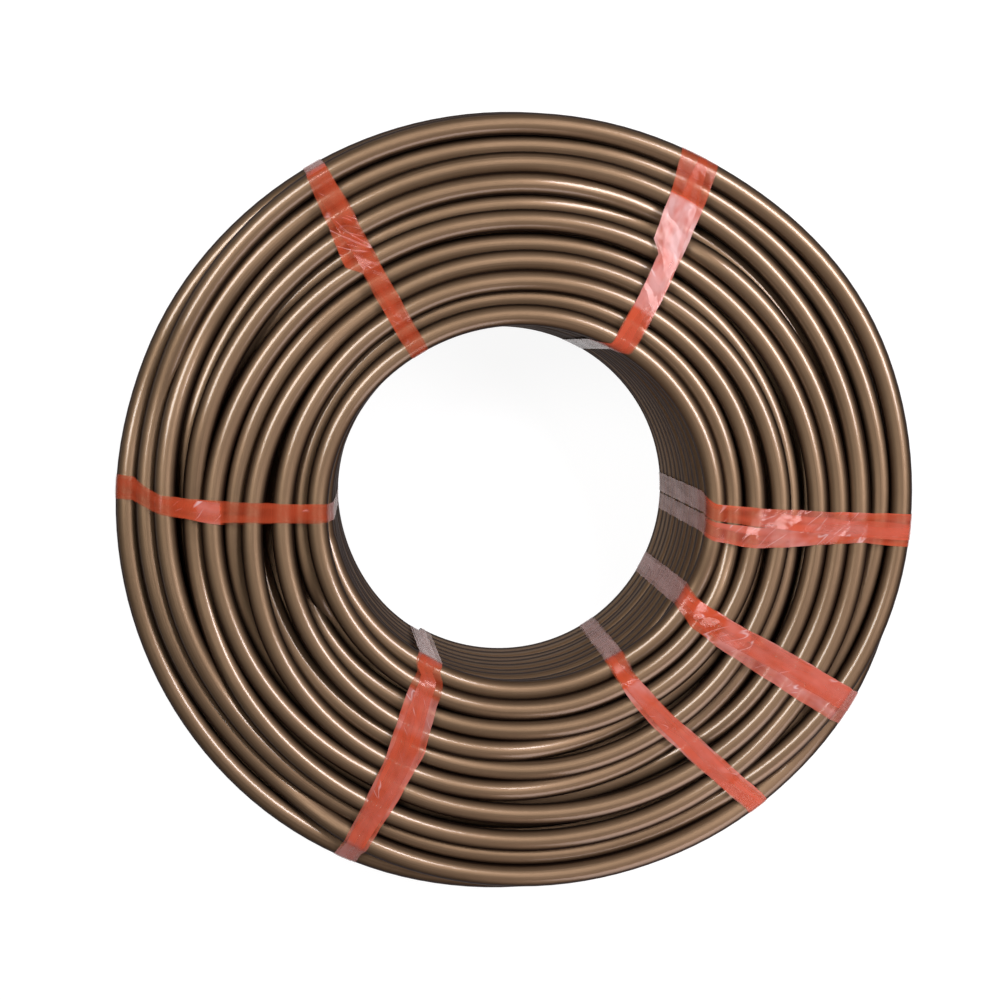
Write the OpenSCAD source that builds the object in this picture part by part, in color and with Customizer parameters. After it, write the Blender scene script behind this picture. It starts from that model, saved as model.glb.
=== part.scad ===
// A coil of 20 mm plastic heating pipe, wound in nested layers and tied with bands of stretch film.
// It lies on its end face. The origin is on the floor, on the axis of the coil, and +Z runs up that axis.

/* [Pipe] */
// Outside diameter of the pipe
pipe_od = 20; // [16:0.5:26]

/* [Winding] */
// Diameter of the bore, measured between the crests of its turns
bore_d = 350; // [280:5:600]
// Number of layers, counted outwards from the bore
layers = 11; // [5:1:15]
// Turns in a tall layer, while the short layer that nests on it has one fewer
turns = 11; // [5:1:15]
// Gap left between neighbouring turns
turn_gap = 0.2; // [0.1:0.1:1]
// Depth from the crest of a turn to where its neighbours close the groove
groove_depth = 7; // [6:0.5:8]

/* [Film bands] */
// Thickness of the film, wound several times round
film_t = 0.3; // [0.1:0.1:1]
// Slack between the film and the crests that it runs over
film_slack = 0.1; // [0.1:0.1:0.5]
// Width of a band that was pulled narrow
narrow_w = 23; // [12:1:40]
// Width of a band that was wound side by side
wide_w = 32; // [15:1:60]

/* [Hidden] */
$fn = 96;
pipe_r = pipe_od / 2;
pitch = pipe_od + turn_gap;                  // from one turn to the next in a layer
layer_step = pitch * cos(30);                // from one nested layer to the next
lift = film_t + film_slack;                  // the coil rests on the film below it
first_r = bore_d / 2 + pipe_r;               // centre line of the innermost layer
outer_r = first_r + (layers - 1) * layer_step + pipe_r;
coil_h = (turns - 1) * pitch + pipe_od;
groove_rise = pipe_r - groove_depth;         // how far the core stands past the centre lines

// Each band crosses the end face in a straight line: its angle where it leaves the bore and its angle
// where it reaches the rim, both in degrees about the axis, and the band's width.
BANDS = [
    [356.5, 357, wide_w],
    [58.5, 63.5, wide_w],
    [122.5, 121, narrow_w],
    [180, 176, narrow_w],
    [241, 243.5, wide_w],
    [302, 309, narrow_w],
    [330.5, 328.5, wide_w],
];

// Centre line radius of layer k, where layer 0 is at the bore.
function layer_r(k) = first_r + k * layer_step;

// A tall layer fills the whole height, and a short one nests between its turns.
function is_tall(k) = k % 2 == 0;
function layer_turns(k) = is_tall(k) ? turns : turns - 1;
function bottom_z(k) = lift + pipe_r + (is_tall(k) ? 0 : pitch / 2);
function top_z(k) = bottom_z(k) + (layer_turns(k) - 1) * pitch;

// One layer's turns cut through, either all of them or only the two at its ends.
module layer_section(k, all_turns) {
    last = layer_turns(k) - 1;
    for (j = all_turns ? [0 : last] : [0, last])
        translate([layer_r(k), bottom_z(k) + j * pitch])
            circle(r = pipe_r);
}

// The hidden inner turns, as one plain area whose edge is the bottom of every groove.
module core_section() {
    last = layers - 1;
    inner = layer_r(0) - groove_rise;
    outer = layer_r(last) + groove_rise;
    polygon(concat(
        [for (k = [0 : last]) [layer_r(k), bottom_z(k) - groove_rise]],
        [[outer, bottom_z(last)], [outer, top_z(last)]],
        [for (k = [last : -1 : 0]) [layer_r(k), top_z(k) + groove_rise]],
        [[inner, top_z(0)], [inner, bottom_z(0)]]
    ));
}

// The whole winding, turned about its axis with its bore open.
module pipe_coil() {
    color([0.55, 0.42, 0.27])
        rotate_extrude()
            union() {
                core_section();
                for (k = [0 : layers - 1])
                    layer_section(k, k == 0 || k == layers - 1);
            }
}

// Outline of the winding's section, grown by a margin, with corners as round as the corner turns.
module wrapped_section(margin) {
    low = lift + pipe_r;
    high = lift + coil_h - pipe_r;
    inner = first_r;
    outer = outer_r - pipe_r;
    corner = pipe_r + margin;
    translate([inner - corner, low])
        square([outer - inner + 2 * corner, high - low]);
    translate([inner, low - corner])
        square([outer - inner, high - low + 2 * corner]);
    for (r = [inner, outer], z = [low, high])
        translate([r, z])
            circle(r = corner);
}

// A point on the end face, at a radius and an angle about the axis.
function polar(r, angle) = [r * cos(angle), r * sin(angle)];

// One band of film: a closed loop through the bore and round the winding.
// It is made along +X, shifted sideways, and then turned to its heading.
module film_band(i) {
    band = BANDS[i - 1];
    width = band[2];
    start = polar(bore_d / 2, band[0]);
    run = polar(outer_r, band[1]) - start;
    heading = atan2(run[1], run[0]);
    shift = start[1] * cos(heading) - start[0] * sin(heading);
    color([0.85, 0.28, 0.18])
        rotate([0, 0, heading])
            intersection() {
                rotate([0, 0, 180])
                    rotate_extrude()
                        difference() {
                            wrapped_section(film_slack + film_t);
                            wrapped_section(film_slack);
                        }
                translate([0, shift - width / 2, 0])
                    cube([outer_r + lift, width, coil_h + 2 * lift]);
            }
}

pipe_coil();
film_band(1);  // film_band_1
film_band(2);  // film_band_2
film_band(3);  // film_band_3
film_band(4);  // film_band_4
film_band(5);  // film_band_5
film_band(6);  // film_band_6
film_band(7);  // film_band_7
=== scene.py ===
"""Dresses a coil of brown heating pipe, tied with seven bands of orange stretch film.

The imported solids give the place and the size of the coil. Every run of pipe that shows is laid here along
its own wandering route, because a hand-tied coil is never as even as its plain solid.
"""
from __future__ import annotations

import logging
import math
from dataclasses import dataclass, field
from enum import Enum

import bmesh
import bpy
import numpy as np
from mathutils import Matrix, Vector, noise

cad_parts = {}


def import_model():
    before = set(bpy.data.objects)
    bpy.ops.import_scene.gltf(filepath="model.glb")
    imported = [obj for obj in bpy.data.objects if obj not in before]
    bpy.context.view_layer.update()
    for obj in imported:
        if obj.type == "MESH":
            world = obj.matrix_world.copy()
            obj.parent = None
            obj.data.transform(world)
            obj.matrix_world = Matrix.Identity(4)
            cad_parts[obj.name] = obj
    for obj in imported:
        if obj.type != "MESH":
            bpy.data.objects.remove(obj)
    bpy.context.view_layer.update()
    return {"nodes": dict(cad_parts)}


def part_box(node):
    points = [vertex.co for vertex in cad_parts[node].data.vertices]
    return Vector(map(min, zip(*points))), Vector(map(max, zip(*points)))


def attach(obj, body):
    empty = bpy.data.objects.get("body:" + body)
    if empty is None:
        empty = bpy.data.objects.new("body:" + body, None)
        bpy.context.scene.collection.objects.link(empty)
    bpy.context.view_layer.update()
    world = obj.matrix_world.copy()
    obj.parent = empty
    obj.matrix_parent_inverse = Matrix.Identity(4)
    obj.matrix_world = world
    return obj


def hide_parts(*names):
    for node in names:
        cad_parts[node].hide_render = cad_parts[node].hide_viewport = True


LOG = logging.getLogger("pipe_coil")
MM = 0.001
FULL_TURN = 360.0
SHARP_ANGLE = math.radians(55.0)
TOUCH = 1e-6
RIM_POINTS = 40
RIPPLE_WAVES = (0.045, 0.021, 0.009)
CREASES_ALONG = 30.0
CREASES_ACROSS = 110.0
CREASE_SHARPNESS = 3.0
NOISE_REACH = 50.0

Colour = tuple[float, float, float, float]
Rows = tuple[tuple[float, ...], ...]


def smooth_step(t: np.ndarray) -> np.ndarray:
    """Gives 0 below 0, 1 above 1, and an even S between them."""
    t = np.clip(t, 0.0, 1.0)
    return t * t * (3.0 - 2.0 * t)


def relaxed(values: np.ndarray, rounds: int) -> np.ndarray:
    """Evens out a row of values and keeps its two ends.

    Args:
        values: The row.
        rounds: How many times each value is averaged with its neighbours.

    Returns:
        The evened row.
    """
    row = values.astype(float).copy()
    for _ in range(rounds):
        row[1:-1] = 0.25 * row[:-2] + 0.5 * row[1:-1] + 0.25 * row[2:]
    return row


def hump(away: np.ndarray, spread: float) -> np.ndarray:
    """Gives 1 where away is 0, and less and less to both sides."""
    return np.exp(-((away / spread) ** 2))


def wrapped(degrees: np.ndarray) -> np.ndarray:
    """Brings degrees to within half a turn of 0."""
    return (degrees + FULL_TURN / 2.0) % FULL_TURN - FULL_TURN / 2.0


def read_rows(rows: Rows, radius: np.ndarray) -> list[np.ndarray]:
    """Reads the columns after the first, which is millimetres, at each radius in metres."""
    at, *columns = zip(*rows)
    return [np.interp(radius, np.array(at) * MM, column) for column in columns]


@dataclass(frozen=True)
class Pipe:
    """The pipe that is wound, in metres."""

    od: float = 0.020
    wall: float = 0.002
    turn_gap: float = 0.0002
    outer_lip: float = 0.0004
    inner_lip: float = 0.0003
    mouth_steps: int = 5
    sides: int = 20
    stations: int = 144

    @property
    def radius(self) -> float:
        """Outside radius of the pipe."""
        return self.od / 2.0

    @property
    def bore_radius(self) -> float:
        """Inside radius of the pipe."""
        return self.radius - self.wall

    @property
    def pitch(self) -> float:
        """Distance from one turn of a layer to the next."""
        return self.od + self.turn_gap

    @property
    def layer_step(self) -> float:
        """Distance from one nested layer to the next."""
        return self.pitch * math.cos(math.radians(30.0))

    @property
    def station_angle(self) -> float:
        """Degrees between two stations along a run."""
        return FULL_TURN / self.stations


@dataclass(frozen=True)
class Winding:
    """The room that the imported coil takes, and the layers in it."""

    pipe: Pipe
    outer_r: float
    low: float
    high: float
    layers: int = 11

    @classmethod
    def from_frame(cls, pipe: Pipe, node: str) -> Winding:
        """Reads the coil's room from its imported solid.

        Args:
            pipe: The pipe that is wound.
            node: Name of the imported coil.

        Returns:
            The winding.
        """
        low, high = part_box(node)
        return cls(pipe, float(high.x), float(low.z), float(high.z))

    @property
    def turns(self) -> int:
        """Number of turns in a tall layer."""
        return round((self.high - self.low - self.pipe.od) / self.pipe.pitch) + 1

    @property
    def top_z(self) -> float:
        """Height of the centre line of the top turns."""
        return self.high - self.pipe.radius

    @property
    def bottom_z(self) -> float:
        """Height of the centre line of the bottom turns."""
        return self.low + self.pipe.radius

    @property
    def rim_r(self) -> float:
        """Centre line radius of the outermost layer."""
        return self.outer_r - self.pipe.radius

    def layer_r(self, k: int) -> float:
        """Centre line radius of layer k, where layer 0 is at the bore."""
        return self.rim_r - (self.layers - 1 - k) * self.pipe.layer_step


@dataclass
class Run:
    """One length of pipe, as stations a fixed angle apart.

    The depth is how far the centre line lies inwards of the outermost turns of its end face.
    """

    name: str
    first: int
    radius: np.ndarray
    depth: np.ndarray

    @classmethod
    def along(cls, name: str, knots: Rows, pipe: Pipe, rounds: int = 10) -> Run:
        """Lays a run through knots of angle, radius and depth.

        Args:
            name: Name of the run.
            knots: Degrees, millimetres and, where it isn't 0, millimetres of depth.
            pipe: The pipe that is laid.
            rounds: How much the corners at the knots are evened out.

        Returns:
            The run.
        """
        angles = np.array([k[0] for k in knots])
        first = math.ceil(angles[0] / pipe.station_angle)
        last = math.floor(angles[-1] / pipe.station_angle)
        at = np.arange(first, last + 1) * pipe.station_angle
        radius = np.interp(at, angles, [k[1] * MM for k in knots])
        depth = np.interp(at, angles, [(k[2] if len(k) > 2 else 0.0) * MM for k in knots])
        return cls(name, first, relaxed(radius, rounds), relaxed(depth, rounds))

    @property
    def count(self) -> int:
        """Number of stations."""
        return len(self.radius)

    def angles(self, pipe: Pipe) -> np.ndarray:
        """Degrees of every station, counted on past a full turn."""
        return (self.first + np.arange(self.count)) * pipe.station_angle

    def then(self, other: Run) -> Run:
        """Joins another run on to this one.

        Args:
            other: The run that starts where this one ends.

        Returns:
            Both as one run, under this one's name.
        """
        if other.first != self.first + self.count:
            raise ValueError(f"{other.name} doesn't start where {self.name} ends")
        return Run(
            self.name,
            self.first,
            np.concatenate([self.radius, other.radius]),
            np.concatenate([self.depth, other.depth]),
        )

    def centres(self, pipe: Pipe, face_z: float, inwards: float) -> np.ndarray:
        """Points of the centre line.

        Args:
            pipe: The pipe that is laid.
            face_z: Height of the outermost turns of the end face.
            inwards: -1.0 where depth goes down, and 1.0 where it goes up.

        Returns:
            One point for each station.
        """
        turn = np.radians(self.angles(pipe))
        return np.stack(
            [self.radius * np.cos(turn), self.radius * np.sin(turn), face_z + inwards * self.depth], axis=1
        )


# Runs of pipe that show on the top face, from the bore outwards. Each follows its own route through
# (degrees, radius in mm, depth in mm), rises from under its neighbours and dives under them again.
BORE_RUN = (
    (190, 183, 20.2), (207, 180, 13), (220, 178, 9), (240, 174, 8), (270, 175, 8), (300, 178, 8),
    (320, 184, 4), (340, 187), (360, 187), (390, 186), (420, 184), (450, 182.5), (480, 183), (510, 187),
    (540, 189), (570, 190), (600, 190.5), (630, 190.5), (660, 195), (680, 202), (700, 206), (720, 205.5, 3),
    (750, 205, 6), (780, 202, 8), (810, 198.5, 10), (840, 199, 11), (870, 201.5, 13), (900, 203.5, 13),
    (930, 205, 14), (955, 206, 24), (975, 207, 34),
)
SECOND_RUN = (
    (175, 212, 34), (195, 215, 22), (207, 217, 13), (220, 218, 8), (240, 214, 5), (270, 210.5), (300, 217),
    (320, 223), (340, 226), (360, 226), (390, 224), (420, 219), (450, 213.5), (480, 213.5), (510, 216),
    (540, 220.5), (555, 223.5), (570, 228), (600, 232), (630, 231), (660, 231.5, 4), (680, 236, 12),
    (700, 238, 16), (720, 238, 17), (736, 239, 24), (755, 240, 34),
)
THIRD_RUN = (
    (175, 246, 34), (195, 249, 22), (207, 250, 12), (220, 251, 8), (240, 250, 6), (270, 251), (300, 252.5),
    (320, 254), (340, 252), (360, 250.5), (390, 245.5), (420, 237.5), (450, 232.5, 3), (480, 231),
    (510, 237), (540, 248), (555, 254), (570, 262.5), (585, 267), (600, 269.5), (630, 270.5), (660, 270, 4),
    (680, 270.5, 8), (700, 268, 9), (720, 264, 10), (750, 259.5, 12), (780, 255, 9), (810, 248.5, 9),
    (840, 250, 6), (870, 256, 4), (900, 266, 10), (920, 273, 16), (938, 275, 24), (958, 276, 34),
)
FOURTH_RUN = (
    (235, 276, 34), (255, 280, 22), (270, 283, 13), (280, 285, 10), (300, 287, 6), (320, 291, 4),
    (340, 289.5), (360, 287), (390, 280.5, 1), (420, 274, 5), (450, 268.5), (480, 268.5), (510, 275),
    (540, 285.5), (570, 289.5), (600, 288), (630, 293), (660, 304), (680, 311), (700, 310), (720, 307.5),
    (750, 300.5), (768, 296), (776, 293.5, 4), (786, 290.5, 8), (810, 284, 9), (840, 283, 11),
    (860, 287, 16), (872, 290, 24), (892, 294, 34),
)
FIFTH_RUN = (
    (-18, 314, 34), (2, 313, 24), (17, 313, 16), (35, 311, 14), (46, 309, 14), (55, 307, 11), (66, 305),
    (90, 302), (120, 300), (150, 301), (180, 302.5), (210, 309.5), (240, 313.5), (270, 319.5), (300, 327),
    (320, 330), (340, 331), (360, 327.5), (390, 326), (420, 322.5), (450, 321.5), (480, 318, 4),
    (510, 315, 12), (540, 313, 17), (550, 313, 24), (570, 313, 34),
)
RIM_RUN = (
    (285, 336, 34), (302, 341, 24), (315, 345, 15), (340, 347, 12), (360, 352, 10), (390, 350, 9),
    (420, 342, 9), (450, 338, 9), (480, 337, 8), (510, 334, 5), (540, 327.5), (570, 328), (600, 330, 3),
    (630, 337.5, 8), (650, 343, 8), (660, 345, 9), (670, 349, 5), (680, 354.5), (690, 360.5), (700, 365),
    (710, 367.5), (720, 368.5), (740, 370), (750, 370), (760, 366.5), (770, 361.5), (780, 358), (790, 357),
    (810, 355), (840, 355.5), (870, 350, 3), (900, 345.5, 8), (925, 345.5, 8), (945, 346, 6), (955, 347, 3),
    (965, 349), (990, 355), (1010, 359.5), (1020, 363.5, 3), (1030, 368.5, 6), (1040, 371.5, 11),
    (1050, 374, 15), (1060, 373, 19), (1070, 369.5, 20.2), (1085, 365.5, 20.2), (1105, 363.5, 20.2),
    (1130, 361, 20.2), (1165, 358.5, 20.2), (1195, 361, 20.2), (1215, 363, 19), (1230, 364.5, 17),
    (1245, 365, 16), (1265, 365, 18), (1290, 367, 20.2), (1310, 368.5, 20.2), (1325, 368, 20.2),
    (1345, 364, 20.2), (1365, 360.5, 20.2), (1400, 360.3, 20.2),
)
# Short lengths that show low down between their neighbours.
LOW_RUNS = (
    ((195, 296, 34), (215, 297, 20), (230, 298.5, 15), (250, 300, 14), (270, 303, 15), (285, 306, 20),
     (305, 309, 34)),
    ((300, 338, 34), (322, 339, 22), (340, 340, 17), (360, 340, 17), (380, 339, 18), (395, 337, 24),
     (415, 335, 34)),
    ((170, 243, 34), (188, 241, 27), (205, 240, 22), (220, 240, 24), (240, 240, 34)),
)
RUNS = {
    "pipe_bore_run": BORE_RUN,
    "pipe_second_run": SECOND_RUN,
    "pipe_third_run": THIRD_RUN,
    "pipe_fourth_run": FOURTH_RUN,
    "pipe_fifth_run": FIFTH_RUN,
    "pipe_rim_run": RIM_RUN,
    **{f"pipe_low_run_{number}": knots for number, knots in enumerate(LOW_RUNS, 1)},
}


@dataclass
class Settling:
    """Lets the runs of one end face sink until none lies in another."""

    pipe: Pipe
    evening: int = 8

    def settle(self, runs: list[Run]) -> float:
        """Sinks the stations of every run, the shallowest first.

        Args:
            runs: The runs of one face, which are changed.

        Returns:
            The deepest overlap that is left, in metres.
        """
        rows: list[list[tuple[int, int]]] = [[] for _ in range(self.pipe.stations)]
        for number, run in enumerate(runs):
            for i in range(run.count):
                rows[(run.first + i) % self.pipe.stations].append((number, i))
        wish = [run.depth.copy() for run in runs]
        for row in rows:
            row.sort(key=lambda at: (wish[at[0]][at[1]], at[0], at[1]))
            placed: list[tuple[float, float]] = []
            for number, i in row:
                radius = float(runs[number].radius[i])
                depth = self._free_depth(radius, float(wish[number][i]), placed)
                runs[number].depth[i] = depth
                placed.append((radius, depth))
        for run in runs:
            run.depth = relaxed(run.depth, self.evening)
        return self._worst(runs, rows)

    def _free_depth(self, radius: float, wish: float, placed: list[tuple[float, float]]) -> float:
        """Finds the smallest depth at which a turn touches none that is placed.

        Args:
            radius: Radius of the turn's centre line.
            wish: The depth that it would like, and the least that it may have.
            placed: Radius and depth of every turn that is placed.

        Returns:
            The depth.
        """
        depth = wish
        for _ in range(len(placed) + 1):
            hits = [
                d + need
                for r, d in placed
                if (need := math.sqrt(max(self.pipe.od**2 - (r - radius) ** 2, 0.0))) > abs(d - depth) + TOUCH
            ]
            if not hits:
                break
            depth = min(hits) if min(hits) > depth + TOUCH else max(hits)
        return depth

    def _worst(self, runs: list[Run], rows: list[list[tuple[int, int]]]) -> float:
        """Measures the deepest overlap.

        Args:
            runs: The runs of one face.
            rows: For each station of a full turn, the runs that pass it and their own stations there.

        Returns:
            How far two turns reach into each other, in metres, or 0.
        """
        worst = 0.0
        for row in rows:
            at = [(float(runs[n].radius[i]), float(runs[n].depth[i])) for n, i in row]
            for a, (r, d) in enumerate(at):
                for s, e in at[a + 1:]:
                    worst = max(worst, self.pipe.od - math.hypot(r - s, d - e))
        return worst


@dataclass(frozen=True)
class Climb:
    """Where the turns of a wall all step over to the next level, in degrees about the axis."""

    start: float
    sweep: float

    def levels(self, angles: np.ndarray) -> np.ndarray:
        """Counts the steps up.

        Args:
            angles: Degrees, counted on past a full turn.

        Returns:
            The steps taken at each angle, with the part of the one that is under way.
        """
        past = (angles - self.start) / FULL_TURN
        whole = np.floor(past)
        return whole + smooth_step((past - whole) * FULL_TURN / self.sweep)


def sway(angles: np.ndarray, seed: int, size: float) -> np.ndarray:
    """Gives the slow wandering of a hand-laid turn.

    Args:
        angles: Degrees, counted on past a full turn.
        seed: Picks the wandering.
        size: How far it strays, in metres.

    Returns:
        One offset for each angle.
    """
    turn = np.radians(angles)
    rates = (1.37, 2.21, 3.43, 0.61)
    phases = np.random.default_rng(seed).uniform(0.0, 2.0 * math.pi, len(rates))
    return size * sum(np.sin(rate * turn + phase) for rate, phase in zip(rates, phases)) / 2.0


@dataclass
class PipeCoil:
    """Every length of pipe that shows, and the plain core that stands for the turns inside."""

    pipe: Pipe
    winding: Winding
    bore_climb: Climb = Climb(190.0, 40.0)
    rim_climb: Climb = Climb(325.0, 60.0)
    bottom_climb: Climb = Climb(285.0, 70.0)
    bore_end: float = 238.5
    rim_end: float = 315.0
    turns_on_top: int = 2
    wall_sway: float = 0.0007
    pinch_at: float = -82.0
    pinch_spread: float = 45.0
    pinch_by: float = 0.005
    second_pinch: float = 0.5
    loose_at: float = 210.0
    loose_spread: float = 60.0
    loose_rise: float = 0.0105
    loose_share: float = 2.2
    flat_at: float = 85.0
    flat_spread: float = 28.0
    flat_by: float = 0.0035
    tail: float = 30.0
    tail_dive: float = 0.032
    core_step: float = 0.0085
    core_pitches: float = 1.5
    pieces: list[bpy.types.Object] = field(default_factory=list)
    laid: list[tuple[int, np.ndarray]] = field(default_factory=list)

    def build(self) -> list[bpy.types.Object]:
        """Builds every piece of the coil.

        Returns:
            The pieces.
        """
        top = {name: Run.along(name, knots, self.pipe) for name, knots in RUNS.items()}
        LOG.info("top face: deepest overlap %.1f mm", Settling(self.pipe).settle(list(top.values())) / MM)
        bore, rim = top["pipe_bore_run"], top["pipe_rim_run"]
        top["pipe_bore_run"] = self._bore_wall(bore.first).then(bore)
        top["pipe_rim_run"] = rim.then(self._rim_wall(rim.first + rim.count))
        bottom = self._bottom_spiral()
        for name, run in top.items():
            self._add(run, self.winding.top_z, -1.0, name == "pipe_bore_run", name == "pipe_rim_run")
        self._add(bottom, self.winding.bottom_z, 1.0)
        self.pieces.append(self._core())
        return self.pieces

    def _add(
        self, run: Run, face_z: float, inwards: float, open_start: bool = False, open_end: bool = False
    ) -> None:
        """Lays one run of pipe and keeps its centre line.

        Args:
            run: The run.
            face_z: Height of the outermost turns of the end face.
            inwards: -1.0 where depth goes down, and 1.0 where it goes up.
            open_start: Whether the first end is a cut end.
            open_end: Whether the last end is a cut end.
        """
        centres = run.centres(self.pipe, face_z, inwards)
        self.pieces.append(lay_pipe(run.name, centres, self.pipe, open_start, open_end))
        self.laid.append((run.first, np.stack([run.radius, centres[:, 2]], axis=1)))

    def section(self, angle: float) -> np.ndarray:
        """Cuts the coil through its axis.

        Args:
            angle: Degrees of the cut about the axis.

        Returns:
            The radius and height of every turn that the cut meets.
        """
        stations = self.pipe.stations
        found = []
        for first, line in self.laid:
            place = (angle / self.pipe.station_angle - first) % stations
            while place < len(line) - 1:
                low = int(place)
                part = place - low
                found.append(line[low] * (1.0 - part) + line[low + 1] * part)
                place += stations
        return np.array(found)

    def _bore_wall(self, until: int) -> Run:
        """Winds the wall of the bore, from the inner cut end at the bottom up.

        Args:
            until: The station at which the run of the top face takes over.

        Returns:
            The wall's turns as one run.
        """
        levels = self.winding.turns - 1
        lowest = self.bore_end - FULL_TURN * levels
        at = np.arange(math.ceil(lowest / self.pipe.station_angle), until)
        angles = at * self.pipe.station_angle
        depth = self.pipe.pitch * np.minimum(1.0 - self.bore_climb.levels(angles), levels)
        away = angles - self.pinch_at
        pinch = hump(away, self.pinch_spread) + self.second_pinch * hump(away + FULL_TURN, self.pinch_spread)
        radius = self.winding.layer_r(0) + sway(angles, 3, self.wall_sway) + self.pinch_by * pinch
        return Run("pipe_bore_run", int(at[0]), radius, depth)

    def _rim_wall(self, since: int) -> Run:
        """Winds the outside, down to the outer cut end at the bottom.

        Args:
            since: The first station after the run of the top face.

        Returns:
            The wall's turns as one run.
        """
        levels = self.winding.turns - 1
        start = self.rim_climb.start + FULL_TURN * self.turns_on_top
        last = self.rim_end + FULL_TURN * (levels + self.turns_on_top)
        at = np.arange(since, math.floor(last / self.pipe.station_angle))
        angles = at * self.pipe.station_angle
        steps = Climb(start, self.rim_climb.sweep).levels(angles)
        depth = self.pipe.pitch * np.minimum(steps, levels)
        loose = self.loose_rise * np.exp(-steps / self.loose_share)
        depth -= loose * hump(wrapped(angles - self.loose_at), self.loose_spread)
        radius = self.winding.rim_r + sway(angles, 5, self.wall_sway)
        radius -= self.flat_by * hump(wrapped(angles - self.flat_at), self.flat_spread)
        return Run("pipe_rim_wall", since, radius, depth)

    def _bottom_spiral(self) -> Run:
        """Winds the bottom face, one turn to a layer between the two walls.

        Returns:
            The face's turns as one run, whose ends dive under it.
        """
        pipe, climb, tail = self.pipe, self.bottom_climb, self.tail
        outer = self.winding.layers - 2
        start = climb.start + climb.sweep
        end = climb.start + outer * FULL_TURN
        first = math.ceil((start - tail) / pipe.station_angle)
        last = math.floor((end + tail) / pipe.station_angle)
        angles = np.arange(first, last + 1) * pipe.station_angle
        layer = outer - np.clip(climb.levels(angles) - 1.0, 0.0, outer - 1.0)
        radius = self.winding.layer_r(0) + layer * pipe.layer_step + sway(angles, 7, self.wall_sway)
        dive = np.maximum(start - angles, angles - angles[-1] + tail) / tail
        depth = pipe.pitch / 2.0 * (0.5 - 0.5 * np.cos(math.pi * layer)) + self.tail_dive * smooth_step(dive)
        spiral = Run("pipe_bottom_run", first, radius, depth)
        ring = np.ones(pipe.stations)
        walls = [Run("wall", 0, ring * self.winding.layer_r(k), -TOUCH * ring) for k in (0, outer + 1)]
        LOG.info("bottom face: deepest overlap %.1f mm", Settling(self.pipe).settle([*walls, spiral]) / MM)
        return spiral

    def _core(self) -> bpy.types.Object:
        """Makes the turns of which only the crests show, deep in the gaps.

        Returns:
            One turned ring that stands for all of them.
        """
        pipe, winding = self.pipe, self.winding
        deep = self.core_pitches * pipe.pitch
        inner, outer = winding.layer_r(0) + self.core_step, winding.rim_r - self.core_step
        ridge = [math.radians(a) for a in range(30, 180, 30)]
        top = [
            (winding.layer_r(k) - pipe.radius * math.cos(a), winding.top_z - deep + pipe.radius * math.sin(a))
            for k in range(1, winding.layers - 1)
            for a in ridge
        ]
        low = [(r, winding.bottom_z + winding.top_z - z) for r, z in reversed(top)]
        side_high, side_low = winding.top_z - deep, winding.bottom_z + deep
        outline = [(inner, side_high), *top, (outer, side_high), (outer, side_low), *low, (inner, side_low)]
        bm = bmesh.new()
        verts = [bm.verts.new((r, 0.0, z)) for r, z in outline]
        edges = [bm.edges.new((a, b)) for a, b in zip(verts, verts[1:] + verts[:1])]
        bmesh.ops.spin(
            bm, geom=[*verts, *edges], axis=(0.0, 0.0, 1.0), cent=(0.0, 0.0, 0.0),
            angle=2.0 * math.pi, steps=pipe.stations, use_merge=True, use_duplicate=False,
        )
        bmesh.ops.remove_doubles(bm, verts=bm.verts[:], dist=TOUCH)
        return finished(bm, "pipe_core")


def finished(bm: bmesh.types.BMesh, name: str) -> bpy.types.Object:
    """Turns a bmesh into a smooth-shaded object at the origin, with its sharp edges kept sharp.

    Args:
        bm: The shape, which is freed.
        name: Name of the piece.

    Returns:
        The object.
    """
    bmesh.ops.recalc_face_normals(bm, faces=bm.faces[:])
    for face in bm.faces:
        face.smooth = True
    for edge in bm.edges:
        edge.smooth = edge.calc_face_angle(0.0) < SHARP_ANGLE
    mesh = bpy.data.meshes.new(name)
    bm.to_mesh(mesh)
    bm.free()
    piece = bpy.data.objects.new(name, mesh)
    bpy.context.scene.collection.objects.link(piece)
    return piece


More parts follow.
